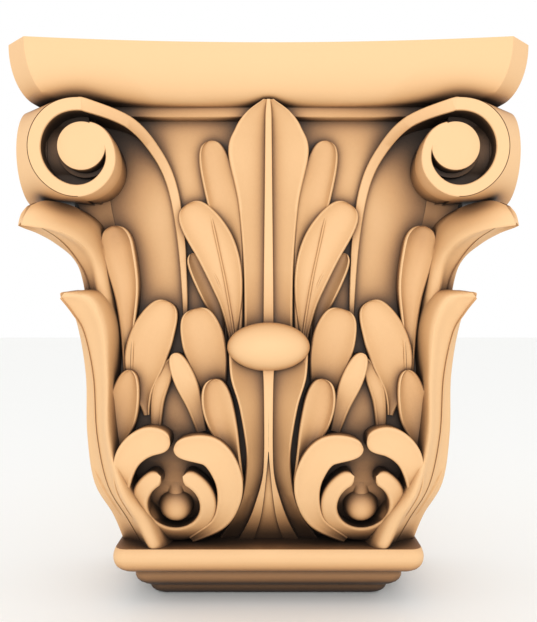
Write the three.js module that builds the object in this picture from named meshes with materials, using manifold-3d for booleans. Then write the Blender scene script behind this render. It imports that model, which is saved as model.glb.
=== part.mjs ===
// Corinthian pilaster capital, carved from one block: the front is whole, the sides return to the
// wall, and the back is cut off flat. Millimetres, +Z up, the front faces -Y.
import * as THREE from 'three';
import { mergeVertices } from 'three/addons/utils/BufferGeometryUtils.js';
import Module from 'manifold-3d';

const wasm = await Module();
wasm.setup();

// ---------------------------------------------------------------- driving dimensions
const HEIGHT = 305;                 // underside of the foot to the top of the abacus
const PART = HEIGHT / 100;          // the carving is set out in hundredths of the height
const HORN = 43.98;                 // half the width of the abacus, corner to corner of the horns
const HORN_CUT = 3.9;               // how much of each horn is cut away at 45 degrees
const ABACUS_FOOT = 90.7;           // height of the abacus's lower edge
const ABACUS_HOLLOW = 2.6;          // how far the middle of each side is hollowed in plan
const OVOLO = { middle: 5.6, horn: 4.1 };      // depth of the quarter round under the top
const FOOT_TOP = 10.8;              // height of the ledge that the lowest leaves grow from
const ROUNDING = 1.6;               // how far the block's corners are rounded in plan
const OVERCUT = 1.5;                // how far the block runs on behind the wall before it is cut
const SEAM = 0.12;                  // how far a corner leaf's halves run into each other
const BURIED = 1.6;                 // how deep a leaf's back lies under the bell's surface

// Every face of the block has the same section: [how far out from the axis, height].
const BLOCK = [
  [21.5, 0], [22.5, 0.4], [23.1, 1.3], [23.1, 2.2], [23.8, 2.5], [24.8, 3.3], [25.4, 4.2],
  [25.5, 5.7], [26.9, 6.3], [28.0, 7.0], [28.6, 7.7], [29.1, 9.3], [29.1, FOOT_TOP],
  [20.5, FOOT_TOP], [23.5, 15], [26.5, 20], [28.6, 26], [29.3, 33], [29.4, 46], [29.2, 58],
  [30.0, 68], [31.4, 78], [33.1, 89],
  [35.9, 89], [35.9, ABACUS_FOOT + 0.4],
];

const VOLUTE = {
  eye: [31, 82.4], eyeRadius: 4.05, face: 42.7, channel: 38.5,
  reach: [8.1, 8.8, 9.0, 8.8, 8.4, 7.0, 5.35, 4.55, 4.05],   // spiral's outer edge, each 45 degrees
  band: [2.25, 2.3, 2.25, 2.1, 2.0, 1.9, 1.6, 1.2, 0.8],  // width of its band at the same places
};

// ---------------------------------------------------------------- curves
// A smooth curve through a few points of any dimension (uniform Catmull-Rom, ends held).
function through(points, t) {
  const last = points.length - 1;
  const place = Math.min(Math.max(t, 0), 1) * last;
  const i = Math.min(Math.floor(place), last - 1);
  const s = place - i;
  const at = (k) => points[Math.min(Math.max(k, 0), last)];
  return at(i).map((_, axis) => {
    const [a, b, c, d] = [at(i - 1)[axis], at(i)[axis], at(i + 1)[axis], at(i + 2)[axis]];
    return b + 0.5 * s * (c - a + s * (2 * a - 5 * b + 4 * c - d + s * (3 * (b - c) + d - a)));
  });
}

const valueThrough = (values, t) => through(values.map((v) => [v]), t)[0];

// The block's section read at a height: how far out the bell's surface stands there.
function bell(height) {
  const above = BLOCK.findIndex(([, h]) => h > height);
  const i = above < 1 ? BLOCK.length - 1 : above;
  const [[outA, hA], [outB, hB]] = [BLOCK[i - 1], BLOCK[i]];
  return outA + (outB - outA) * (height - hA) / (hB - hA);
}

const steps = (count) => Array.from({ length: count + 1 }, (_, i) => i / count);

// ---------------------------------------------------------------- solids
// The four places that a carving takes: the front's left and right, and the two sides. Points are
// [across from the axis, out from the wall, height]; a side swaps across and out.
const BACK = HORN / 2;
const PLACES = {
  frontLeft: { map: ([a, p, h]) => [-a, BACK - p, h], flip: false },
  frontRight: { map: ([a, p, h]) => [a, BACK - p, h], flip: true },
  sideLeft: { map: ([a, p, h]) => [-p, BACK - a, h], flip: true },
  sideRight: { map: ([a, p, h]) => [p, BACK - a, h], flip: false },
};

// A closed skin over rings of points, each ring the same length, with both ends closed by a fan.
function skin(rings, place) {
  const size = rings[0].length;
  const points = rings.flat().map(place.map).flat().map((v) => v * PART);
  const faces = [];
  const add = (a, b, c) => (place.flip ? faces.push(a, c, b) : faces.push(a, b, c));
  for (let r = 0; r < rings.length - 1; r += 1) {
    for (let i = 0; i < size; i += 1) {
      const j = (i + 1) % size;
      const [a, b, c, d] = [r * size + i, r * size + j, (r + 1) * size + j, (r + 1) * size + i];
      add(a, b, c);
      add(a, c, d);
    }
  }
  const end = (rings.length - 1) * size;
  for (let i = 1; i < size - 1; i += 1) {
    add(0, i + 1, i);
    add(end, end + i, end + i + 1);
  }
  return toSolid(points, faces);
}

function toSolid(points, faces) {
  const raw = new THREE.BufferGeometry();
  raw.setAttribute('position', new THREE.Float32BufferAttribute(points, 3));
  raw.setIndex(faces);
  const merged = mergeVertices(raw, 1e-4);
  const index = merged.index.array;
  const kept = [];
  for (let i = 0; i < index.length; i += 3) {
    const [a, b, c] = [index[i], index[i + 1], index[i + 2]];
    if (a !== b && b !== c && c !== a) {
      kept.push(a, b, c);
    }
  }
  return new wasm.Manifold(new wasm.Mesh({
    numProp: 3,
    vertProperties: Float32Array.from(merged.attributes.position.array),
    triVerts: Uint32Array.from(kept),
  }));
}

// ---------------------------------------------------------------- the block
// Rings are rectangles in plan that run behind the wall, so that one cut leaves the back flat.
function block() {
  const rings = BLOCK.map(([out, height]) => {
    const flat = out - ROUNDING;
    const bend = out - ROUNDING * (1 - Math.SQRT1_2);
    const corner = [[out, -OVERCUT], [out, flat], [bend, bend], [flat, out]];
    const mirrored = corner.map(([a, p]) => [-a, p]).reverse();
    return [...corner, ...mirrored].map(([a, p]) => [a, p, height]);
  });
  return skin(rings, PLACES.frontLeft);
}

// The abacus: each side hollowed in plan, the horns cut at 45 degrees, a quarter round below.
function abacus() {
  const corner = HORN - HORN_CUT;
  const side = (across, drop) => {
    const share = (across / corner) ** 2;
    const inset = (OVOLO.middle + (OVOLO.horn - OVOLO.middle) * share) * (1 - Math.sqrt(1 - drop ** 2));
    return [across * (1 - inset / HORN), HORN - ABACUS_HOLLOW * (1 - share) - inset];
  };
  const ring = (drop) => {
    const height = 100 - drop * (100 - ABACUS_FOOT);
    const front = steps(10).map((s) => side(corner * (2 * s - 1), drop));
    const half = steps(5).map((s) => side(corner * s, drop));
    const right = half.map(([across, out]) => [out, across]);
    const left = half.map(([across, out]) => [-out, across]).reverse();
    const tail = [[-right[0][0], -OVERCUT], [right[0][0], -OVERCUT]];
    return [...right, ...front.reverse(), ...left, ...tail].map(([a, p]) => [a, p, height]);
  };
  const drops = [1, 0.99, 0.94, 0.84, 0.69, 0.5, 0.27, 0];
  return skin(drops.map(ring), PLACES.frontLeft);
}

// ---------------------------------------------------------------- leaves
// How wide a blade is along its length, as a share of its greatest width: it swells from its root
// to its fullest place, then rounds off to its tip. A nose over 1 makes the tip more pointed.
function swell(t, { root = 0.3, full = 0.65, nose = 1, waist = 1.5 }) {
  if (t < full) {
    return root + (1 - root) * Math.sin((Math.PI / 2) * (t / full)) ** waist;
  }
  return Math.sqrt(1 - ((t - full) / (1 - full)) ** 2) ** nose;
}

// How far out the scrolls of the lower tier stand at a height: they lean out as they climb.
const lowerTier = (h) => 25 + 9.2 * Math.sin((Math.PI / 2) * Math.min((h - FOOT_TOP) / 23, 1));

// A blade lies along a path [across, height] and stands out by a few values from root to tip, or
// as far as its tier does. Its face is cupped between two rims, its walls run down into the bell.
const ACROSS = [-1, 0, 1];
function blade(leaf, place, count = 6) {
  const { path, width, out, cup = 0.5 } = leaf;
  const rings = steps(count).map((s) => {
    const t = Math.sin((Math.PI / 2) * s);
    const [a, h] = through(path, t);
    const ahead = through(path, Math.min(t + 0.01, 1));
    const behind = through(path, Math.max(t - 0.01, 0));
    const length = Math.hypot(ahead[0] - behind[0], ahead[1] - behind[1]);
    const normal = [(ahead[1] - behind[1]) / length, (behind[0] - ahead[0]) / length];
    const half = 0.5 * width * swell(t, leaf);
    const dish = cup * half / (0.5 * width);
    const face = ACROSS.map((u) => {
      const [x, z] = [a + normal[0] * half * u, h + normal[1] * half * u];
      return [x, (out ? valueThrough(out, t) : lowerTier(z)) - dish * (1 - u * u), z];
    });
    const under = [face.at(-1), face[0]].map(([x, , z]) => [x, bell(z) - BURIED, z]);
    return [...face, ...under].reverse();
  });
  return skin(rings, place);
}

const LEAFLETS = {
  spoon: { path: [[25.6, 44], [25.6, 52], [25.7, 59], [26.9, 65.5], [27.9, 70]],
    width: 5.9, full: 0.8, root: 0.33, waist: 2, out: [31, 31.8, 32.8, 33.4, 33.6] },
  willow: { path: [[6.5, 50], [7.1, 58], [9.7, 66.6], [14.8, 74.2]],
    width: 7.4, full: 0.72, root: 0.22, nose: 0.8, out: [30.8, 31.4, 32.2, 32.5] },
  bud: { path: [[8.1, 49], [9.2, 54.6], [11.1, 60], [14.1, 65.4]],
    width: 4.3, full: 0.66, root: 0.3, out: [30, 30.6, 31.2, 31.6] },
  outerHand: { path: [[22.3, 36], [23, 41], [22.5, 46], [20.7, 51.5], [18, 56.7]],
    width: 8, full: 0.62, root: 0.15, nose: 0.9, out: [30.6, 31, 31.6, 32, 32] },
  innerHand: { path: [[9.6, 38], [10.6, 44], [11.9, 50], [13.5, 55.4]],
    width: 7.8, full: 0.6, root: 0.45, nose: 0.8, out: [30.4, 31.8, 32.2] },
  shortFinger: { path: [[20.6, 34], [20.2, 39], [18.9, 43.2], [17.4, 46.4]],
    width: 2.9, full: 0.6, root: 0.7, cup: 0.3, out: [30.6, 31, 31.6] },
  longFinger: { path: [[12.2, 33], [13.6, 38.5], [15.3, 43], [17.1, 47.4]],
    width: 4, full: 0.62, root: 0.5, cup: 0.3, out: [30.6, 31.8, 32.6] },
  sidePalm: { path: [[28.6, 27], [27.4, 33], [26.2, 38.5], [25, 44.4]],
    width: 5.9, full: 0.52, root: 0.15, nose: 1.1, out: [31.6, 32.2, 32.2] },
  ear: { path: [[5.4, 24], [7.2, 31], [8.9, 37], [9.9, 42.8]],
    width: 5.8, full: 0.7, root: 0.3, out: [31.6, 32.6, 32.9] },
  sideLobe: { path: [[5.6, 50], [6.6, 63], [8.2, 75.5], [10.6, 85.1]],
    width: 6, full: 0.72, root: 0.3, nose: 0.8, out: [30.8, 31.6, 34] },
};
const FRONT_ONLY = ['bud', 'shortFinger', 'longFinger', 'ear'];   // the sides are carved plainer

// ---------------------------------------------------------------- scrolls of the lower tier
const SCROLLS = {
  outerScroll: { path: [[22.8, 13], [25.6, 18], [26.6, 23], [25.2, 28.6], [21.8, 31.6], [17.5, 31.5]],
    width: 5.3, full: 0.8, root: 0.1, waist: 2, cup: 0.4 },
  innerScroll: { path: [[14.6, 11.5], [9.3, 15.3], [7.2, 20.5], [7.5, 25.6], [10.5, 29.9], [16.9, 30.4]],
    width: 5.4, full: 0.8, root: 0.3, waist: 1, cup: 0.4 },
};
const HORSESHOE = { centre: [17.4, 19.2], radius: 6.4, gap: 18, width: 3.2 };

function horseshoe(place, count = 10) {
  const { centre, radius, gap, width } = HORSESHOE;
  const rings = steps(count).map((s) => {
    const turn = THREE.MathUtils.degToRad(90 - gap - s * (360 - 2 * gap));
    const nearEnd = Math.min(s, 1 - s) / 0.1;
    const half = 0.5 * width * (nearEnd < 1 ? Math.sqrt(1 - (1 - nearEnd) ** 2) : 1);
    const at = (r, rise) => {
      const h = centre[1] + r * Math.sin(turn);
      return [centre[0] + r * Math.cos(turn), lowerTier(h) + rise, h];
    };
    const walls = [at(radius + half, -0.3), at(radius - half, 0.3)];
    const under = walls.map(([a, , h]) => [a, bell(h) - BURIED, h]).reverse();
    return [...walls, ...under].reverse();
  });
  return skin(rings, place);
}

// ---------------------------------------------------------------- corner leaves
// Half of a leaf that wraps the block's corner: its seam runs up the diagonal, a ridge stands
// proud beside it, and its edge falls back to the bell. Each row is seam, ridge and edge.
const CORNER_LEAVES = {
  lower: [
    { seam: [24.3, 10.5], ridge: [22, 28.2, 10.5], edge: [19, 26.4, 10.5] },
    { seam: [26.6, 16], ridge: [23.8, 29.9, 16], edge: [21, 27.8, 16] },
    { seam: [29.6, 23], ridge: [26.6, 32.8, 22.8], edge: [24.6, 29.9, 23.4] },
    { seam: [31.2, 32.6], ridge: [28.8, 33.6, 32.6], edge: [27.3, 30.6, 33.6] },
    { seam: [31.7, 43], ridge: [28.9, 33.8, 43], edge: [27.6, 30.8, 43] },
    { seam: [33, 51], ridge: [29.3, 35.2, 52.4], edge: [27, 31, 52.3] },
    { seam: [34.6, 54.6], ridge: [31.6, 36.4, 57.4], edge: [29.6, 32.8, 58.4] },
    { seam: [36.2, 57.2], ridge: [35.9, 36.4, 57.6], edge: [35.4, 36, 58.4] },
  ],
  upper: [
    { seam: [31.4, 52], ridge: [30.2, 32.8, 52], edge: [27.3, 31, 52] },
    { seam: [32.5, 60.2], ridge: [30.6, 33.9, 60.4], edge: [28, 31.6, 61] },
    { seam: [34, 64], ridge: [31, 35.5, 64.6], edge: [29, 32.2, 66] },
    { seam: [36.2, 67.2], ridge: [33, 38.3, 67.3], edge: [30.6, 34.2, 70.6] },
    { seam: [38.8, 69.2], ridge: [35.8, 40.4, 68.7], edge: [33.6, 37, 73.1] },
    { seam: [40.4, 69.8], ridge: [39, 41.6, 69.2], edge: [37.6, 39.6, 73.8] },
    { seam: [41.3, 70], ridge: [41.1, 42, 69.4], edge: [39.9, 40.9, 72.8] },
  ],
};

function cornerLeaf(rows, place, count = 7) {
  const columns = {
    seam: rows.map(({ seam: [out, h] }) => [out - SEAM, out, h]),
    ridge: rows.map(({ ridge }) => ridge),
    edge: rows.map(({ edge }) => edge),
  };
  const rings = steps(count).map((t) => {
    const seam = through(columns.seam, t);
    const ridge = through(columns.ridge, t);
    const edge = through(columns.edge, t);
    const mix = (p, q, s) => p.map((v, i) => v + (q[i] - v) * s);
    const hollow = mix(seam, ridge, 0.5);
    hollow[1] -= 0.3 * (1 - t);
    const inner = Math.min(edge[0], edge[1]) - 3 * (1 - t);
    const heart = [inner + SEAM, inner, edge[2]];
    const under = [seam[0] - 1.6 * (1 - t) + SEAM, seam[1] - 1.6 * (1 - t) - SEAM, seam[2] - 0.5 * (1 - t)];
    return [[seam[0] + 2 * SEAM, seam[1], seam[2]], hollow, ridge, edge, heart, under];
  });
  return skin(rings, place);
}

// Behind the upper corner leaf the block runs out along the diagonal, up to the abacus: its
// corner stands this far out at each height.
const CORNER_CORE = [[56, 31], [64, 32.6], [72, 34.3], [80, 35.4], [92, 37]];
function cornerCore(place) {
  const rings = CORNER_CORE.map(([height, reach]) => {
    const [heel, arm] = [[reach - 6, reach - 3.6], [reach - 1, reach]];
    return [[heel[1], heel[0]], [arm[1], arm[0]], arm, heel].map(([a, p]) => [a, p, height]);
  });
  return skin(rings, place);
}

// ---------------------------------------------------------------- volutes
function voluteEdge(turn) {
  const t = THREE.MathUtils.euclideanModulo(turn, 360) / 360;
  return valueThrough(VOLUTE.reach, t);
}

function onVolute(turn, radius, out) {
  const angle = THREE.MathUtils.degToRad(turn);
  return [VOLUTE.eye[0] + radius * Math.sin(angle), out, VOLUTE.eye[1] + radius * Math.cos(angle)];
}

// The drum behind the spiral: the floor of the channel.
function voluteDrum(place) {
  const contour = (out) => steps(14).slice(0, -1).map((s) => onVolute(360 * s, voluteEdge(360 * s) - 0.3, out));
  return skin([contour(30), contour(VOLUTE.channel)], place);
}

function voluteEye(place) {
  const contour = (radius, out) => steps(12).slice(0, -1).map((s) => onVolute(360 * s, radius, out));
  const { eyeRadius, face, channel } = VOLUTE;
  return skin([contour(eyeRadius, channel - 1), contour(eyeRadius, face)], place);
}

// The stem climbs from between the lower leaves and curls into the volute as its band.
const STEM = {
  path: [[15.2, 46], [15.3, 57], [15.9, 68.5], [17.4, 77.6], [20, 83.3], [24, 87.4], [31, 89.4]],
  out: [30, 30.5, 31.3, 32.4, 34.6, 38.8, 42.7],
  width: [0.9, 1, 1.5, 1.75, 1.85, 2, 2.25],
};
function stem(place) {
  const bar = (centre, normal, width, out, floor) => {
    const at = (u, p) => [centre[0] + normal[0] * width * u, p, centre[1] + normal[1] * width * u];
    return [at(-0.5, floor), at(-0.5, out), at(0.5, out), at(0.5, floor)];
  };
  const climb = steps(7).map((t) => {
    const [a, h] = through(STEM.path, t);
    const ahead = through(STEM.path, Math.min(t + 0.01, 1));
    const behind = through(STEM.path, Math.max(t - 0.01, 0));
    const length = Math.hypot(ahead[0] - behind[0], ahead[1] - behind[1]);
    const normal = [(behind[1] - ahead[1]) / length, (ahead[0] - behind[0]) / length];
    const out = valueThrough(STEM.out, t);
    return bar([a, h], normal, valueThrough(STEM.width, t), out, Math.min(bell(h) - 1, out - 1));
  });
  const curl = steps(12).slice(1).map((s) => {
    const turn = 340 * s;
    const width = valueThrough(VOLUTE.band, turn / 360);
    const [a, , h] = onVolute(turn, voluteEdge(turn) - width / 2, 0);
    const normal = [Math.sin(turn * Math.PI / 180), Math.cos(turn * Math.PI / 180)];
    return bar([a, h], normal, width, VOLUTE.face, VOLUTE.channel - 1);
  });
  return skin([...climb, ...curl], place);
}

// The two volutes of a corner meet in a 45 degree rim: its plan at each height runs from one
// face's outer edge to the other's.
function voluteCorner(place) {
  const rings = steps(8).map((s) => {
    const turn = 4 + 172 * (1 - s);
    const [reach, , height] = onVolute(turn, voluteEdge(turn), 0);
    const { face } = VOLUTE;
    return [[reach, face, height], [reach - 0.6, reach - 0.6, height], [face, reach, height]];
  });
  return skin(rings, place);
}

// ---------------------------------------------------------------- centre leaves
// A centre leaf spans both halves: each ring goes from its left wall over the rib to its right.
function centreLeaf(rows, place, count) {
  const rings = steps(count).map((t) => {
    const [height, half, rim, hollow, rib, ribHalf] = through(rows, t);
    const outs = [[1, rim - 0.4], [0.84, rim], [0.4, hollow], [0.15, hollow], [0, rib]];
    const right = outs.map(([u, p]) => [ribHalf + (half - ribHalf) * u, p, height]);
    const left = outs.map(([a, p]) => [-a, p, height]).reverse();
    const floor = bell(height) - BURIED;
    return [...right, ...left, [-half, floor, height], [half, floor, height]];
  });
  return skin(rings, place);
}

// Rows: height, half width, rim out, hollow out, rib out, rib half width.
const UPPER_CENTRE = [
  [46, 4.4, 31.2, 30.6, 31.5, 0.95], [61, 4.5, 31.5, 30.9, 31.8, 0.85], [74, 5.4, 32.8, 32.1, 33, 0.7],
  [83, 7.1, 35.2, 34.4, 35.4, 0.6], [87, 5.7, 36.6, 35.9, 36.7, 0.55], [89.5, 3.7, 37.8, 37.3, 37.8, 0.5],
  [91.3, 0.8, 38.8, 38.8, 38.8, 0.2],
];
const LOWER_CENTRE = [
  [10.5, 9.8, 22, 21.4, 22.4, 5.9], [15, 7.2, 24.6, 23.8, 24.8, 3.8], [19.6, 5.3, 27.4, 26.4, 27.6, 2.3],
  [24.7, 4.4, 30.1, 28.9, 30.2, 1], [30, 4.1, 32.2, 30.8, 32.2, 0.8], [37.7, 5.2, 33.9, 32.4, 33.8, 0.8],
  [44.2, 7, 34.8, 33.2, 34.5, 0.9], [48, 7.4, 35.2, 33.8, 34.8, 1.2],
];
function curl(place) {
  const rings = steps(8).map((s) => {
    const around = Math.PI * s;
    return steps(10).slice(0, -1).map((q) => {
      const turn = 2 * Math.PI * q;
      return [-7.4 * Math.cos(around), 32.9 + 4.4 * Math.sin(around) * Math.cos(turn),
        48.4 + 4.6 * Math.sin(around) * Math.sin(turn)];
    });
  });
  return skin(rings, place);
}

// ---------------------------------------------------------------- assembly
function wallCut() {
  const far = HORN + 10;
  const ring = (height) => [[-far, -20, height], [far, -20, height], [far, 0, height], [-far, 0, height]];
  return skin([ring(-5), ring(105)], PLACES.frontLeft);
}

const { frontLeft, frontRight } = PLACES;
let capital = block().add(abacus());
capital = capital.add(centreLeaf(UPPER_CENTRE, frontLeft, 11));
capital = capital.add(centreLeaf(LOWER_CENTRE, frontLeft, 11));
capital = capital.add(curl(frontLeft));
for (const [side, place] of Object.entries(PLACES)) {
  const inFront = side.startsWith('front');
  for (const [leaf, shape] of Object.entries(LEAFLETS)) {
    if (inFront || !FRONT_ONLY.includes(leaf)) {
      capital = capital.add(blade(shape, place));
    }
  }
  for (const scroll of Object.values(SCROLLS)) {
    capital = capital.add(blade(scroll, place, 8));
  }
  capital = capital.add(horseshoe(place));
  for (const rows of Object.values(CORNER_LEAVES)) {
    capital = capital.add(cornerLeaf(rows, place));
  }
  for (const part of [voluteDrum, voluteEye, stem]) {
    capital = capital.add(part(place));
  }
}
for (const place of [frontLeft, frontRight]) {
  capital = capital.add(cornerCore(place));
  capital = capital.add(voluteCorner(place));
}
capital = capital.subtract(wallCut());

const { vertProperties, triVerts } = capital.getMesh();
const geometry = new THREE.BufferGeometry();
geometry.setAttribute('position', new THREE.Float32BufferAttribute(vertProperties, 3));
geometry.setIndex([...triVerts]);
geometry.computeVertexNormals();

const wood = new THREE.MeshStandardMaterial({ color: 0xe3b988, roughness: 0.6, metalness: 0 });
const mesh = new THREE.Mesh(geometry, wood);
mesh.name = 'capital';
const model = new THREE.Group();
model.add(mesh);
export default model;
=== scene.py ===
# %% [markdown]
# # A Corinthian pilaster capital, carved in limewood
#
# The capital is one block of wood with leaves, scrolls and volutes cut out of it. Here each leaf is
# worked out as a closed surface of its own, a grid of points bent over a curve, and at the end they
# are all joined into one skin, as they are in the block. The CAD solid gives the size and the place.

# %% Open the shared frame and measure the block
import math
import bpy
import numpy as np
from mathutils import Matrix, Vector


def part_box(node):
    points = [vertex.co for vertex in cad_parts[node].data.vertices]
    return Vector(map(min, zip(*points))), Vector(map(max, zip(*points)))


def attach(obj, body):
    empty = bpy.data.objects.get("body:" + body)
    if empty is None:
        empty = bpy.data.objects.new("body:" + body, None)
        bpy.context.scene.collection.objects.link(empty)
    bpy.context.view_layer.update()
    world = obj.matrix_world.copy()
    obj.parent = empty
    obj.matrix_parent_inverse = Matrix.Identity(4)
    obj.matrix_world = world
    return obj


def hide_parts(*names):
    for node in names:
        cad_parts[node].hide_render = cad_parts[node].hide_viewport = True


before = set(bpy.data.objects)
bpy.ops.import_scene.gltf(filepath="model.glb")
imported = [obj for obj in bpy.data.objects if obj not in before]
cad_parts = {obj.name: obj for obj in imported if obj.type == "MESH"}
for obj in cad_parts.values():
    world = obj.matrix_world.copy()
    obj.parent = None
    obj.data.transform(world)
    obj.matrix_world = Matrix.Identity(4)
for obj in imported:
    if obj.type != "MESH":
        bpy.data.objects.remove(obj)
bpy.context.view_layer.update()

low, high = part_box("capital")
HEIGHT = high.z - low.z
PART = HEIGHT / 100                     # the carving is set out in hundredths of its height
HORN = (high.x - low.x) / 2 / PART      # half the width, from the axis to the abacus's corners
WALL = high.y / PART                    # where the back is cut off flat
PAST_WALL = 1.5                         # pieces run on this far behind it until they are cut
BURIED = 1.6                            # and a lobe runs this far into the ground
UNDERCUT = 0.94                         # its wall leans in to this share of its width
print(f"height {HEIGHT * 1000:.0f} mm, one part {PART * 1000:.2f} mm, horns at {HORN:.2f} parts")

# %% [markdown]
# ## Curves
#
# A carver draws a leaf with a few points and a smooth line through them. A Catmull-Rom curve does
# the same: it passes through every point that is given, so the points can be read straight off a
# drawing. All of it is computed for whole arrays at once.

# %% A smooth line through points, a leaf's swelling width, and the bell under the leaves
def through(points, t):
    """Catmull-Rom curve: between points b and c, with neighbours a and d and a share s of the way,
    b + s/2 (c - a + s (2a - 5b + 4c - d + s (3b - 3c + d - a))). The ends are held."""
    points = np.asarray(points, float)
    last = len(points) - 1
    spot = np.clip(np.asarray(t, float), 0, 1) * last
    i = np.minimum(spot.astype(int), last - 1)
    s = (spot - i).reshape((-1,) + (1,) * (points.ndim - 1))
    a, b, c, d = (points[np.clip(i + k, 0, last)] for k in (-1, 0, 1, 2))
    return b + 0.5 * s * (c - a + s * (2 * a - 5 * b + 4 * c - d + s * (3 * (b - c) + d - a)))


def swell(t, root=0.3, full=0.65, nose=1.0, waist=1.5):
    """Width along a leaf as a share of its widest: a sine from the root to its fullest place, then
    the quarter of a circle to the tip, raised to the power of the nose."""
    rising = root + (1 - root) * np.sin(np.pi / 2 * np.clip(t / full, 0, 1)) ** waist
    falling = np.clip(1 - ((t - full) / (1 - full)) ** 2, 0, 1) ** (0.5 * nose)
    return np.where(t < full, rising, falling)


FOOT_TOP = 10.8
GROUND = np.array([[20.5, 10.8], [23.5, 15], [26.5, 20], [28.6, 26], [29.3, 33], [29.4, 46],
                   [29.2, 58], [30, 68], [31.4, 78], [33.1, 89], [35.9, 89.5], [36, 100]])


def bell(height):
    """How far the ground behind the leaves stands out from the axis, read off its profile."""
    return np.interp(height, GROUND[:, 1], GROUND[:, 0])


def lower_tier(height):
    """How far the lower scrolls stand out: a quarter of a sine, from the foot up and outwards."""
    return 25 + 9.2 * np.sin(np.pi / 2 * np.clip((height - FOOT_TOP) / 23, -1, 1))


def along(count):
    """Steps from root to tip that crowd together towards the tip, where the outline turns."""
    return np.sin(np.pi / 2 * np.linspace(0, 1, count)) * 0.9995


print("ground at 40 and 80 parts:", bell(np.array([40, 80])))

# %% [markdown]
# ## From rings to a closed skin
#
# Every piece is a stack of rings. Each ring is a closed line of points [across, out, height], and
# two rings next to each other are joined by quads. The first and the last ring are closed by a fan
# of triangles. The front has a left and a right half, and the two sides are the front's halves
# turned round the corner, so across and out change places there.

# %% Make a mesh from rings, at one of the four places
PLACES = {
    "left": lambda a, p, h: (-a, WALL - p, h),
    "right": lambda a, p, h: (a, WALL - p, h),
    "left side": lambda a, p, h: (-p, WALL - a, h),
    "right side": lambda a, p, h: (p, WALL - a, h),
}
MIRRORED = ("right", "left side")
carved = []


def skin(name, rings, place="left", keep=True):
    """Quads between rings i and i + 1, and a fan from the first point of each end ring."""
    rings = np.asarray(rings, float)
    rows, cols = rings.shape[:2]
    a, p, h = rings.reshape(-1, 3).T
    points = np.stack(PLACES[place](a, p, h), 1) * PART
    r, c = np.meshgrid(np.arange(rows - 1), np.arange(cols), indexing="ij")
    n = (c + 1) % cols
    here, ahead = r * cols, (r + 1) * cols
    quads = np.stack([here + c, here + n, ahead + n, ahead + c], -1).reshape(-1, 4)
    fan = np.stack([np.zeros(cols - 2, int), np.arange(2, cols), np.arange(1, cols - 1)], 1)
    ends = np.concatenate([fan, fan[:, ::-1] + (rows - 1) * cols])
    if place in MIRRORED:
        quads, ends = quads[:, ::-1], ends[:, ::-1]
    mesh = bpy.data.meshes.new(name)
    mesh.from_pydata(points.tolist(), [], quads.tolist() + ends.tolist())
    piece = bpy.data.objects.new(name, mesh)
    if keep:
        carved.append(piece)
    return piece


def sideways(path, t):
    """The unit normal of a curve in its own plane, from the difference between two close points."""
    step = through(path, np.minimum(t + 0.01, 1)) - through(path, np.maximum(t - 0.01, 0))
    step /= np.linalg.norm(step, axis=1)[:, None]
    return np.stack([step[:, 1], -step[:, 0]], 1)


print("places:", ", ".join(PLACES))

# %% [markdown]
# ## The block: foot mouldings and bell
#
# The foot is a stack of mouldings that runs round three sides. Its profile is drawn once and every
# ring is that profile's distance from the axis, as a square with softened corners. The profile
# could be swept with a modifier, but rings keep the corners exactly mitred.

# %% The block
def arc(start, end, bulge, count=7):
    """Points on a curve from start to end that bows outwards by a share of the distance."""
    s = np.linspace(0, 1, count)[:, None]
    start, end = np.array(start, float), np.array(end, float)
    across = np.array([end[1] - start[1], start[0] - end[0]])
    return start + (end - start) * s + across * bulge * 4 * s * (1 - s)


foot = np.concatenate([
    arc([21.2, 0], [23.2, 2.3], 0.2), arc([23.6, 2.35], [25.5, 5.9], 0.22),
    arc([26.2, 5.95], [29.1, 8.6], 0.2), arc([29.1, 8.7], [28.7, FOOT_TOP], 0.08),
    [[27.8, FOOT_TOP + 0.05], [20.4, FOOT_TOP]],
])
bell_heights = np.linspace(11.2, 88.9, 40)
bell_rows = np.stack([bell(bell_heights), bell_heights], 1)
fillet = [[33.1, 88.95], [35.7, 88.96], [35.9, 89.1], [35.9, 91.1]]
profile = np.concatenate([foot, bell_rows, fillet])


def rounded_square(reach, height, corner):
    """A ring: from the wall along one side, round its corner on a quarter circle, and mirrored."""
    turn = np.linspace(0, np.pi / 2, 7)
    a = np.concatenate([[reach], reach - corner + corner * np.cos(turn)])
    p = np.concatenate([[-PAST_WALL], reach - corner + corner * np.sin(turn)])
    half = np.stack([a, p, np.full(len(a), height)], 1)
    return np.concatenate([half, (half * [-1, 1, 1])[::-1]])


FOOT_CORNER, BELL_CORNER = 2.2, 1.2
skin("block", [rounded_square(reach, h, FOOT_CORNER if h < 11 else BELL_CORNER) for reach, h in profile])
print("block:", len(profile), "rings")

# %% [markdown]
# ## The abacus
#
# The slab on top is hollowed on each side in plan, and its horns are cut at 45 degrees. Below its
# upper edge runs a quarter round, so each ring lies further in as it comes down: by a quarter
# circle's sagitta.

# %% The abacus
HORN_CUT, HOLLOW, ABACUS_FOOT = 3.9, 2.6, 90.7
ROUND, LESS_AT_HORN = 5.6, 1.5          # depth of the quarter round, and how much less at the horns
CORNER = HORN - HORN_CUT


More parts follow.
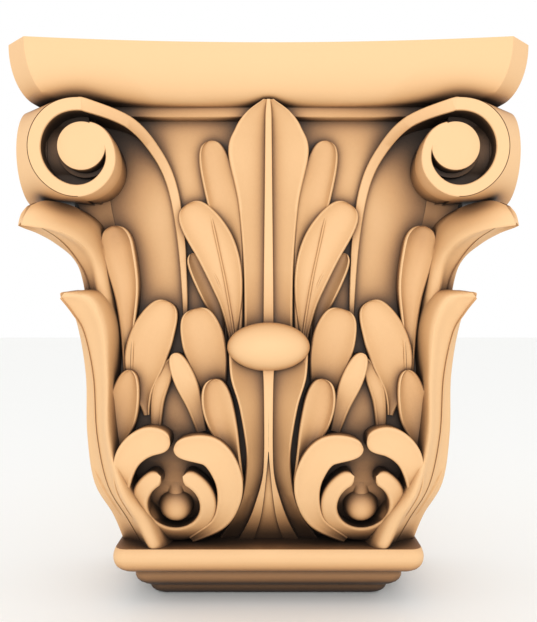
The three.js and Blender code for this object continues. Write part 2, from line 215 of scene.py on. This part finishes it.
def abacus_ring(drop):
    """Side of the slab: horn - hollow (1 - share) - inset, where share is (across / corner)^2 and
    the inset is the quarter round's depth times 1 - sqrt(1 - drop^2)."""
    depth = 1 - math.sqrt(1 - drop**2)
    def side(across):
        share = (across / CORNER) ** 2
        inset = (ROUND - LESS_AT_HORN * share) * depth
        return across * (1 - inset / HORN), HORN - HOLLOW * (1 - share) - inset
    height = 100 - drop * (100 - ABACUS_FOOT)
    front = np.stack(side(CORNER * np.linspace(-1, 1, 61)), 1)
    half = np.stack(side(CORNER * np.linspace(0, 1, 31)), 1)[:, ::-1]
    left = (half * [-1, 1])[::-1]
    tail = [[-half[0, 0], -PAST_WALL], [half[0, 0], -PAST_WALL]]
    flat = np.concatenate([half, front[::-1], left, tail])
    return np.column_stack([flat, np.full(len(flat), height)])


drops = np.concatenate([[1], np.sin(np.pi / 2 * np.linspace(0.97, 0, 22))])
skin("abacus", [abacus_ring(d) for d in drops])
print("abacus:", len(drops), "rings")

# %% [markdown]
# ## A leaf
#
# Each lobe of acanthus is a tongue with a thin raised rim, a shallow hollow inside it and a steep
# wall down to the ground, a little undercut so that its edge throws a dark line. The tongue is a
# grid: one way runs from root to tip, the other round its section.

# %% One lobe
def lobe(name, place, path, width, out=None, cup=1.0, lean=0.0, rim=0.42, count=34, **shape):
    """Section at each step: across the face u runs from -1 to 1 and dips by cup (1 - |u|^2.6); the
    rim is a quarter circle; the wall goes down to the ground and slightly in."""
    t = along(count)
    centre, normal = through(path, t), sideways(path, t)
    half = 0.5 * width * swell(t, **shape)
    share = half / (0.5 * width)
    bead = np.minimum(rim, 0.5 * half)
    u = np.linspace(-1, 1, 15)
    turn = np.linspace(0, np.pi / 2, 5)[1:]
    flat = u[None] * (half - bead)[:, None]
    dip = -cup * share[:, None] * (1 - np.abs(u[None] - lean * (1 - u[None] ** 2)) ** 2.6)
    edge = (half - bead)[:, None] + bead[:, None] * np.sin(turn)
    fall = -bead[:, None] * (1 - np.cos(turn))
    offset = np.concatenate([-edge[:, ::-1], flat, edge], 1)
    rise = np.concatenate([fall[:, ::-1], dip, fall], 1)
    a = centre[:, :1] + normal[:, :1] * offset
    h = centre[:, 1:] + normal[:, 1:] * offset
    top = lower_tier(h) if out is None else through(np.reshape(out, (-1, 1)), t)
    face = np.stack([a, top + rise, h], -1)
    foot_in = offset[:, [-1, 0]] * UNDERCUT
    a = centre[:, :1] + normal[:, :1] * foot_in
    h = centre[:, 1:] + normal[:, 1:] * foot_in
    under = np.stack([a, bell(h) - BURIED, h], -1)
    return skin(name, np.concatenate([face, under], 1)[:, ::-1], place)


LOBES = {
    "spoon": dict(path=[[25.6, 44], [25.6, 52], [25.7, 59], [26.9, 65.5], [27.9, 70.2]], width=5.9,
                  full=0.8, root=0.33, waist=2, out=[31, 31.8, 32.8, 33.4, 33.6]),
    "willow": dict(path=[[6.5, 50], [7.1, 58], [9.7, 66.6], [14.8, 74.2]], width=7.6,
                   full=0.72, root=0.22, nose=0.8, out=[30.8, 31.4, 32.2, 32.5]),
    "bud": dict(path=[[8.1, 49], [9.2, 54.6], [11.1, 60], [14.1, 65.4]], width=4.4,
                full=0.66, root=0.3, out=[30, 30.6, 31.2, 31.6]),
    "outer hand": dict(path=[[22.3, 36], [23, 41], [22.5, 46], [20.7, 51.5], [18, 56.7]], width=8.1,
                       full=0.62, root=0.15, nose=0.9, out=[30.6, 31, 31.6, 32, 32]),
    "inner hand": dict(path=[[9.6, 38], [10.6, 44], [11.9, 50], [13.5, 55.4]], width=7.9,
                       full=0.6, root=0.45, nose=0.8, out=[30.4, 31.8, 32.2]),
    "short finger": dict(path=[[20.6, 34], [20.2, 39], [18.9, 43.2], [17.4, 46.4]], width=2.9,
                         full=0.6, root=0.7, cup=0.25, out=[30.6, 31, 31.6]),
    "long finger": dict(path=[[12.2, 33], [13.6, 38.5], [15.3, 43], [17.1, 47.4]], width=4.1,
                        full=0.62, root=0.5, cup=0.25, out=[30.6, 31.8, 32.6]),
    "side palm": dict(path=[[28.6, 27], [27.4, 33], [26.2, 38.5], [25, 44.4]], width=6,
                      full=0.52, root=0.15, nose=1.1, out=[31.6, 32.2, 32.2]),
    "ear": dict(path=[[5.4, 24], [7.2, 31], [8.9, 37], [9.9, 42.8]], width=5.8,
                full=0.7, root=0.3, out=[31.6, 32.6, 32.9], lean=0.3),
    "side lobe": dict(path=[[5.6, 50], [6.6, 63], [8.2, 75.5], [10.6, 85.3]], width=6.2,
                      full=0.72, root=0.3, nose=0.8, out=[30.8, 31.6, 34], lean=0.3, cup=0.8),
}
SCROLLS = {
    "outer scroll": dict(path=[[22.8, 13], [25.6, 18], [26.6, 23], [25.2, 28.6], [21.8, 31.6],
                               [17.5, 31.5]],
                         width=5.4, full=0.8, root=0.1, waist=2, cup=0.35, count=60),
    "inner scroll": dict(path=[[14.6, 11.5], [9.3, 15.3], [7.2, 20.5], [7.5, 25.6], [10.5, 29.9],
                               [16.9, 30.4]],
                         width=5.5, full=0.8, root=0.3, waist=1, cup=0.35, count=60),
}
FRONT_ONLY = ("bud", "short finger", "long finger", "ear")
for place in PLACES:
    for name, shape in {**LOBES, **SCROLLS}.items():
        if "side" not in place or name not in FRONT_ONLY:
            lobe(name, place, **shape)
print("lobes so far:", len(carved) - 2)

# %% [markdown]
# ## The broken ring between the scrolls
#
# Under each pair of scrolls sits a ring, open at the top, round a boss. It is a bar bent round a
# circle, with its ends rounded off. The boss inside it is set later, with the other egg shapes.

# %% The broken rings
def broken_ring(place, centre=(17.4, 19.2), radius=6.4, gap=18, width=3.3, count=90):
    """Angle runs from gap to 360 - gap; the half width is rounded off to a half circle at the ends."""
    s = np.linspace(0, 1, count)
    turn = np.radians(90 - gap - s * (360 - 2 * gap))
    run = radius * math.radians(360 - 2 * gap)
    from_end = np.clip(np.minimum(s, 1 - s) * run / (0.5 * width), 0.0005, 1)
    half = 0.5 * width * np.sqrt(1 - (1 - from_end) ** 2)
    bead = np.minimum(0.7, 0.6 * half)
    u = np.linspace(-1, 1, 9)
    curve = np.linspace(0, np.pi / 2, 5)[1:]
    offset = np.concatenate([-((half - bead)[:, None] + bead[:, None] * np.sin(curve))[:, ::-1],
                             u * (half - bead)[:, None],
                             (half - bead)[:, None] + bead[:, None] * np.sin(curve)], 1)
    fall = -bead[:, None] * (1 - np.cos(curve))
    rise = np.concatenate([fall[:, ::-1], np.zeros((count, 9)), fall], 1)
    r = radius - offset
    a = centre[0] + r * np.cos(turn)[:, None]
    h = centre[1] + r * np.sin(turn)[:, None]
    face = np.stack([a, lower_tier(h) + 0.3 * offset / (0.5 * width) + rise, h], -1)
    under = face[:, [-1, 0]].copy()
    under[..., 1] = bell(under[..., 2]) - BURIED
    return skin("ring", np.concatenate([face, under], 1)[:, ::-1], place)


for place in PLACES:
    broken_ring(place)
print("pieces:", len(carved))

# %% [markdown]
# ## Corner leaves
#
# At each corner two leaves lean out, one over the other, and each wraps the edge of the block. Half
# a leaf is a sheet between a few curves that run from root to tip: the seam on the corner, the
# ridge, and the outer edge. Points between the curves are again on Catmull-Rom curves, the other
# way across.

# %% Corner leaves
SEAM = 0.12
CORNER_LEAVES = {
    "lower corner": [   # seam (out, height); ridge and edge (across, out, height)
        [24.3, 10.5, 22, 28.2, 10.5, 19, 26.4, 10.5],
        [26.6, 16, 23.8, 29.9, 16, 21, 27.8, 16],
        [29.6, 23, 26.6, 32.8, 22.8, 24.6, 29.9, 23.4],
        [31.2, 32.6, 28.8, 33.6, 32.6, 27.3, 30.6, 33.6],
        [31.7, 43, 28.9, 33.8, 43, 27.6, 30.8, 43],
        [33, 51, 29.3, 35.2, 52.4, 27, 31, 52.3],
        [34.6, 54.6, 31.6, 36.4, 57.4, 29.6, 32.8, 58.4],
        [36.2, 57.2, 35.9, 36.4, 57.6, 35.4, 36, 58.4],
    ],
    "upper corner": [
        [31.4, 52, 30.2, 32.8, 52, 27.3, 31, 52],
        [32.5, 60.2, 30.6, 33.9, 60.4, 28, 31.6, 61],
        [34, 64, 31, 35.5, 64.6, 29, 32.2, 66],
        [36.2, 67.2, 33, 38.3, 67.3, 30.6, 34.2, 70.6],
        [38.8, 69.2, 35.8, 40.4, 68.7, 33.6, 37, 73.1],
        [40.4, 69.8, 39, 41.6, 69.2, 37.6, 39.6, 73.8],
        [41.3, 70, 41.1, 42, 69.4, 39.9, 40.9, 72.8],
    ],
}


def corner_leaf(name, rows, place, count=40):
    """Five columns are run through the rows from root to tip, then 17 points across the columns."""
    t = np.linspace(0, 1, count)
    rows = through(rows, t)
    seam = np.stack([rows[:, 0], rows[:, 0], rows[:, 1]], 1)
    ridge, edge = rows[:, 2:5], rows[:, 5:8]
    hollow = 0.5 * (seam + ridge) - [0, 0.35, 0] * (1 - t)[:, None]
    shoulder = 0.45 * ridge + 0.55 * edge + np.array([0, 0.9, 0.35]) * (1 - 0.6 * t)[:, None]
    columns = np.stack([seam, hollow, ridge, shoulder, edge])
    face = np.swapaxes(through(columns, np.linspace(0, 1, 17)), 0, 1)
    start = seam + [2 * SEAM, 0, 0]
    inner = np.minimum(edge[:, 0], edge[:, 1]) - 3 * (1 - t)
    heart = np.stack([inner + SEAM, inner, edge[:, 2] - 0.3], 1)
    sunk = BURIED * (1 - t)
    back = seam - np.stack([sunk - SEAM, sunk + SEAM, 0.5 * (1 - t) - 0.1], 1)
    ring = np.concatenate([start[:, None], face[:, 1:], heart[:, None], back[:, None]], 1)
    return skin(name, ring, place)


CORE = [[56, 31], [64, 32.6], [72, 34.3], [80, 35.4], [92, 37]]


def corner_core(place):
    """Behind the upper leaf the block runs out along the diagonal: four corners at each height."""
    rings = []
    for height, reach in through(CORE, np.linspace(0, 1, 12)):
        plan = [[reach - 3.6, reach - 6], [reach, reach - 1], [reach - 1, reach], [reach - 6, reach - 3.6]]
        rings.append([[a, p, height] for a, p in plan])
    return skin("core", rings, place)


for place in PLACES:
    for name, rows in CORNER_LEAVES.items():
        corner_leaf(name, rows, place)
for place in ("left", "right"):
    corner_core(place)
print("pieces:", len(carved))

# %% [markdown]
# ## Volutes
#
# A stem climbs from between the leaves, bends over and rolls up into a spiral round a round eye.
# The stem and the band of the spiral are one bar; the channel beside it has a drum for its floor.

# %% Where the volutes stand, and angles round the eye
EYE, EYE_RADIUS, FACE, CHANNEL = (31, 82.4), 4.05, 42.7, 38.5
REACH = [8.1, 8.8, 9.0, 8.8, 8.4, 7.0, 5.35, 4.55, 4.05]
BAND = [2.25, 2.3, 2.25, 2.1, 2.0, 1.9, 1.6, 1.2, 0.8]
STEM_PATH = [[15.2, 46], [15.3, 57], [15.9, 68.5], [17.4, 77.6], [20, 83.3], [24, 87.4], [31, 89.4]]
STEM_OUT = [30, 30.5, 31.3, 32.4, 34.6, 38.8, 42.7]
STEM_WIDTH = [0.9, 1, 1.5, 1.75, 1.85, 2, 2.25]


def column(values, t):
    """A Catmull-Rom curve through single values."""
    return through(np.reshape(values, (-1, 1)), t)[:, 0]


def on_volute(turn, radius):
    """Points at an angle from the top, turning outwards, and a radius from the eye."""
    return EYE[0] + radius * np.sin(turn), EYE[1] + radius * np.cos(turn)


print("eye at", EYE, "parts, the face", FACE, "parts out")


# %% Round pillars: the drum, the eye and its step
def disc(name, place, radius, back, front, soft, count=72):
    """A pillar whose radius is given for each angle. Its front edge is softened, and three smaller
    rings close in on the centre."""
    turn = np.linspace(0, 2 * np.pi, count, endpoint=False)
    radius = radius(turn) if callable(radius) else np.full(count, radius)
    edge = [(radius, back), (radius, front - soft), (radius - 0.3 * soft, front - 0.3 * soft),
            (radius - soft, front)]
    rings = []
    for r, out in edge + [(radius * share, front) for share in (0.5, 0.2, 0.03)]:
        a, h = on_volute(turn, r)
        rings.append(np.stack([a, np.full(count, out), h], 1))
    return skin(name, rings, place)


print("drum at the top:", column(REACH, [0])[0] - 0.3, "parts in radius")


# %% The stem, which turns into the spiral's band
def bar(centre, normal, width, out, floor):
    """A strip's section at each step: flat face, edges rounded by a tenth of a part, straight walls."""
    soft = 0.14
    u = np.array([-0.5, -0.5, -0.5, 0.5, 0.5, 0.5])
    shift = np.array([0, 0, soft, -soft, 0, 0])
    drop = np.array([None, soft, 0, 0, soft, None])
    offset = u * width[:, None] + shift
    a = centre[:, :1] + normal[:, :1] * offset
    h = centre[:, 1:] + normal[:, 1:] * offset
    p = np.stack([floor if d is None else out - d for d in drop], 1)
    return np.stack([a, p, h], -1)


def stem(place):
    """The climb follows its path; the curl is the spiral's outer edge less half the band's width."""
    t = np.linspace(0, 1, 50)[:-1]
    centre, normal = through(STEM_PATH, t), -sideways(STEM_PATH, t)
    out = column(STEM_OUT, t)
    climb = bar(centre, normal, column(STEM_WIDTH, t), out, np.minimum(bell(centre[:, 1]) - 1, out - 1))
    s = np.linspace(0, 340 / 360, 110)
    turn = 2 * np.pi * s
    width = column(BAND, s)
    a, h = on_volute(turn, column(REACH, s) - 0.5 * width)
    normal = np.stack([np.sin(turn), np.cos(turn)], 1)
    curl = bar(np.stack([a, h], 1), normal, width, np.full(len(s), FACE),
               np.full(len(s), CHANNEL - 1))
    return skin("stem", np.concatenate([climb, curl]), place)


def volute_rim(place):
    """Where two volutes meet on the corner: a strip at 45 degrees that follows the spiral's edge."""
    turn = np.radians(np.linspace(176, 4, 60))
    reach, h = on_volute(turn, column(REACH, turn / (2 * np.pi)))
    face = np.full(len(reach), FACE)
    ring = [(reach, face), (reach - 0.6, reach - 0.6), (face, reach)]
    return skin("volute rim", np.stack([np.stack([a, p, h], 1) for a, p in ring], 1), place)


print("the stem starts at", STEM_PATH[0], "and ends on the spiral")

# %% Set the four volutes
for place in PLACES:
    disc("drum", place, lambda turn: column(REACH, turn / (2 * np.pi)) - 0.3, 30, CHANNEL, soft=0.02)
    disc("eye", place, EYE_RADIUS, CHANNEL - 1, FACE, soft=0.2)
    disc("eye step", place, EYE_RADIUS + 0.75, CHANNEL - 1, CHANNEL + 1.3, soft=0.1)
    stem(place)
for place in ("left", "right"):
    volute_rim(place)
print("pieces:", len(carved))

# %% [markdown]
# ## Centre leaves
#
# In the middle of the front two leaves stand one over the other. Each has a flat rib, hollow
# panels beside it and a raised fold along its edge. The lower one's tip turns over in a hood, and
# its rib splits in two towards the foot.

# %% Centre leaves
UPPER_CENTRE = [   # height, half width, rim, hollow, rib, rib's half width, wedge in the rib
    [46, 4.4, 31.2, 30.4, 31.6, 0.95, 0], [61, 4.5, 31.5, 30.7, 31.9, 0.85, 0],
    [74, 5.4, 32.8, 31.8, 33.1, 0.7, 0], [83, 7.1, 35.2, 34.1, 35.4, 0.6, 0],
    [87, 5.8, 36.6, 35.7, 36.8, 0.55, 0], [89.5, 3.8, 37.8, 37.2, 37.9, 0.5, 0],
    [91.3, 1.0, 38.8, 38.6, 38.8, 0.3, 0],
]
LOWER_CENTRE = [
    [10.5, 9.8, 22, 20.9, 22.4, 5.9, 2.9], [15, 7.2, 24.6, 23.4, 24.8, 3.8, 1.6],
    [19.6, 5.3, 27.4, 26, 27.6, 2.3, 0.9], [24.7, 4.4, 30.1, 28.7, 30.2, 1.1, 0.4],
    [30, 4.1, 32.2, 30.6, 32.2, 0.8, 0], [37.7, 5.2, 33.9, 32.2, 33.8, 0.8, 0],
    [43, 6.7, 34.3, 32.3, 34.3, 0.9, 0], [47.5, 7.1, 33.4, 32.4, 34.4, 1.2, 0],
]


def centre_leaf(name, rows, count=90):
    """From the rib outwards: flat rib, its steep side, a panel that rises with the share of the way
    to the power 2.2, the fold's rounded edge and the wall. The left half is the right one mirrored."""
    rows = through(rows, np.linspace(0, 1, count))
    height, half, rim, hollow, rib, rib_half, wedge = rows.T
    bead = np.minimum(0.4, 0.4 * (half - rib_half))
    s = np.linspace(0, 1, 14)
    panel_a = (rib_half + 0.12)[:, None] + (half - bead - rib_half - 0.12)[:, None] * s
    panel_p = hollow[:, None] + (rim - hollow)[:, None] * s**2.2
    turn = np.linspace(0, np.pi / 2, 5)[1:]
    edge_a = (half - bead)[:, None] + bead[:, None] * np.sin(turn)
    edge_p = rim[:, None] - bead[:, None] * (1 - np.cos(turn))
    rib_a = np.stack([wedge * 0.6, wedge, wedge + 0.05, rib_half - 0.08, rib_half], 1)
    low_rib = rib - np.where(wedge > 0.02, 0.45, 0)
    rib_p = np.stack([low_rib, low_rib, rib, rib, rib - 0.08], 1)
    a = np.concatenate([rib_a, panel_a, edge_a, half[:, None] * 0.97], 1)
    floor = np.minimum(bell(height) - BURIED, rim - 1.5)
    p = np.concatenate([rib_p, panel_p, edge_p, floor[:, None]], 1)
    right = np.stack([a, p, np.repeat(height[:, None], a.shape[1], 1)], -1)[:, ::-1]
    left = right[:, ::-1] * [-1, 1, 1]
    return skin(name, np.concatenate([right, left], 1), "left")


def egg(name, place, centre, radii, count=36):
    """An ellipsoid in rings: centre + radius times (-cos b, sin b cos t, sin b sin t)."""
    around, turn = np.meshgrid(np.linspace(0.01, np.pi - 0.01, count),
                               np.linspace(0, 2 * np.pi, count, endpoint=False), indexing="ij")
    unit = np.stack([-np.cos(around), np.sin(around) * np.cos(turn), np.sin(around) * np.sin(turn)], -1)
    return skin(name, np.array(centre) + np.array(radii) * unit, place)


centre_leaf("upper centre", UPPER_CENTRE)
centre_leaf("lower centre", LOWER_CENTRE)
egg("hood", "left", (0, 32.9, 48.6), (7.4, 4.4, 4.4))
for place in PLACES:
    egg("boss", place, (17.4, 25.9, 18.6), (3.3, 2.2, 3.2))
    egg("neck", place, (17.4, 26.4, 23.0), (1.7, 1.2, 6.0))
print("pieces:", len(carved))

# %% [markdown]
# ## One skin
#
# The pieces run into each other, as they do in the wood. Blender's Manifold solver joins closed
# meshes quickly and keeps the result closed, so the capital becomes one watertight skin. What runs
# past the wall is cut off with a box, which leaves the back flat.

# %% Measure every piece before joining
def volume(piece):
    """Signed volume: a sixth of the sum of a . (b x c) over the triangles."""
    mesh = piece.data
    mesh.calc_loop_triangles()
    points = np.empty(len(mesh.vertices) * 3)
    mesh.vertices.foreach_get("co", points)
    corners = np.empty(len(mesh.loop_triangles) * 3, int)
    mesh.loop_triangles.foreach_get("vertices", corners)
    a, b, c = points.reshape(-1, 3)[corners.reshape(-1, 3)].transpose(1, 0, 2)
    return float(np.sum(a * np.cross(b, c)) / 6)


for piece in carved:
    if volume(piece) <= 0:
        print("inside out:", piece.name, volume(piece))
print("separate pieces hold", sum(volume(piece) for piece in carved), "cubic metres in all")

# %% Join the pieces and cut the back
bench = bpy.data.collections.new("bench")
bpy.context.scene.collection.children.link(bench)
block = carved[0]
bpy.context.scene.collection.objects.link(block)
for piece in carved[1:]:
    bench.objects.link(piece)
union = block.modifiers.new("union", "BOOLEAN")
union.operation, union.solver = "UNION", "MANIFOLD"
union.operand_type, union.collection = "COLLECTION", bench
far = HORN + 10
SHARP_FROM = 38                         # degrees between faces from which an edge stays crisp
box_ring = [[-far, -20], [far, -20], [far, 0], [-far, 0]]
behind = skin("behind", [[[a, p, h] for a, p in box_ring] for h in (-5, 105)], keep=False)
bpy.context.scene.collection.objects.link(behind)
cut = block.modifiers.new("cut", "BOOLEAN")
cut.operation, cut.solver, cut.object = "DIFFERENCE", "MANIFOLD", behind
graph = bpy.context.evaluated_depsgraph_get()
mesh = bpy.data.meshes.new_from_object(block.evaluated_get(graph))
for piece in carved + [behind]:
    bpy.data.objects.remove(piece)
bpy.data.collections.remove(bench)
mesh.name = "carved capital"
capital = bpy.data.objects.new("carved_capital", mesh)
bpy.context.scene.collection.objects.link(capital)
mesh.shade_smooth()
mesh.set_sharp_from_angle(angle=math.radians(SHARP_FROM))
mesh.calc_loop_triangles()
print("capital:", len(mesh.vertices), "points,", len(mesh.loop_triangles), "triangles")
print("joined, it holds", volume(capital), "cubic metres")

# %% [markdown]
# ## Carved limewood
#
# Limewood is pale, even and almost without figure, so carvers like it. Its colour here holds painted
# shade: warm cream on the high places and near black in the hollows, where less light reaches. A
# painted mask could do this; Ambient Occlusion finds the hollows by itself.

# %% The wood
def linear(hex_colour):
    """sRGB hex to linear: c / 12.92 below 0.04045, else ((c + 0.055) / 1.055) ^ 2.4."""
    c = np.array([int(hex_colour[i:i + 2], 16) for i in (1, 3, 5)]) / 255
    return [*np.where(c <= 0.04045, c / 12.92, ((c + 0.055) / 1.055) ** 2.4), 1.0]


def node(tree, kind, links=(), **settings):
    """Adds a node, sets its inputs and properties, and links (source socket, own input) pairs."""
    made = tree.nodes.new(kind)
    for key, value in settings.items():
        if key in made.inputs:
            made.inputs[key].default_value = value
        else:
            setattr(made, key, value)
    for source, name in links:
        tree.links.new(source, made.inputs[name])
    return made


PAINTED_SHADE_REACH = 0.03                     # hollows up to 30 mm wide get painted shade
# painted shade: colours from near black in the hollows to warm cream on the high places
PAINTED_SHADE_TONES = [(0.0, "#150D07"), (0.35, "#3E2A19"), (0.6, "#8C6440"), (0.82, "#CC9C69"), (1.0, "#E3B988")]


def limewood():
    """Pale wood with a dull sheen and painted shade: its colour runs from near black in the hollows to
    warm cream.
    """
    # the material's colour holds painted shade in the hollows
    material = bpy.data.materials.new("carved limewood with painted shade")
    material.use_nodes = True
    tree = material.node_tree
    tree.nodes.clear()
    # painted shade: Ambient Occlusion darkens the colour in the hollows
    hollows = node(tree, "ShaderNodeAmbientOcclusion", samples=16, Distance=PAINTED_SHADE_REACH)
    tone = node(tree, "ShaderNodeValToRGB", links=[(hollows.outputs["AO"], "Fac")])
    ramp = tone.color_ramp
    for element, (place, colour) in zip(ramp.elements, (PAINTED_SHADE_TONES[0], PAINTED_SHADE_TONES[-1])):
        element.position, element.color = place, linear(colour)
    for place, colour in PAINTED_SHADE_TONES[1:-1]:
        ramp.elements.new(place).color = linear(colour)
    wood = node(tree, "ShaderNodeBsdfPrincipled", links=[(tone.outputs["Color"], "Base Color")],
                Roughness=0.62, IOR=1.46)
    node(tree, "ShaderNodeOutputMaterial", links=[(wood.outputs["BSDF"], "Surface")])
    return material


capital.data.materials.clear()
capital.data.materials.append(limewood())
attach(capital, "root")
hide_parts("capital")
print("wood:", capital.data.materials[0].name)

# %% [markdown]
# ## Floor, light and camera
#
# A plain pale floor, a large soft light in front, a little above the camera, and an even white
# surrounding. The camera stands level, a little above the middle of the capital.

# %% Floor
def floor_material():
    material = bpy.data.materials.new("matt white board")
    material.use_nodes = True
    board = material.node_tree.nodes["Principled BSDF"]
    board.inputs["Base Color"].default_value = linear("#F7F7F5")
    board.inputs["Roughness"].default_value = 0.9
    return material


def sheet(name, corners):
    mesh = bpy.data.meshes.new(name)
    mesh.from_pydata(corners, [], [tuple(range(len(corners)))])
    piece = bpy.data.objects.new(name, mesh)
    bpy.context.scene.collection.objects.link(piece)
    piece.data.materials.append(floor_material())
    return piece


floor = sheet("floor", [(-4, -4, 0), (4, -4, 0), (4, 4, 0), (-4, 4, 0)])
print("floor:", floor.name)


# %% Light and camera
def softbox(name, place, aim, size, watts):
    light = bpy.data.lights.new(name, "AREA")
    light.shape, light.size, light.energy = "SQUARE", size, watts
    lamp = bpy.data.objects.new(name, light)
    bpy.context.scene.collection.objects.link(lamp)
    lamp.location = place
    lamp.rotation_euler = (Vector(aim) - Vector(place)).to_track_quat("-Z", "Y").to_euler()
    return lamp


EYE_LEVEL, DISTANCE = 0.16785 / 0.305, 0.3491 / 0.305     # as shares of the capital's height
eye_height = EYE_LEVEL * HEIGHT
stand_off = low.y - DISTANCE * HEIGHT
softbox("front softbox", (0, stand_off - 0.5, eye_height + 0.15), (0, 0, 0.15), 0.5, 3.2)
world = bpy.data.worlds.new("studio")
world.use_nodes = True
world.node_tree.nodes["Background"].inputs["Color"].default_value = (1, 1, 1, 1)
world.node_tree.nodes["Background"].inputs["Strength"].default_value = 1.0
bpy.context.scene.world = world

camera = bpy.data.objects.new("camera", bpy.data.cameras.new("camera"))
bpy.context.scene.collection.objects.link(camera)
camera.location = (0, stand_off, eye_height)
camera.rotation_euler = (math.pi / 2, 0, 0)
camera.data.sensor_width, camera.data.lens = 36, 40.5
bpy.context.scene.camera = camera
bpy.context.scene.view_settings.view_transform = "Standard"
print("camera:", [round(v, 3) for v in camera.location])
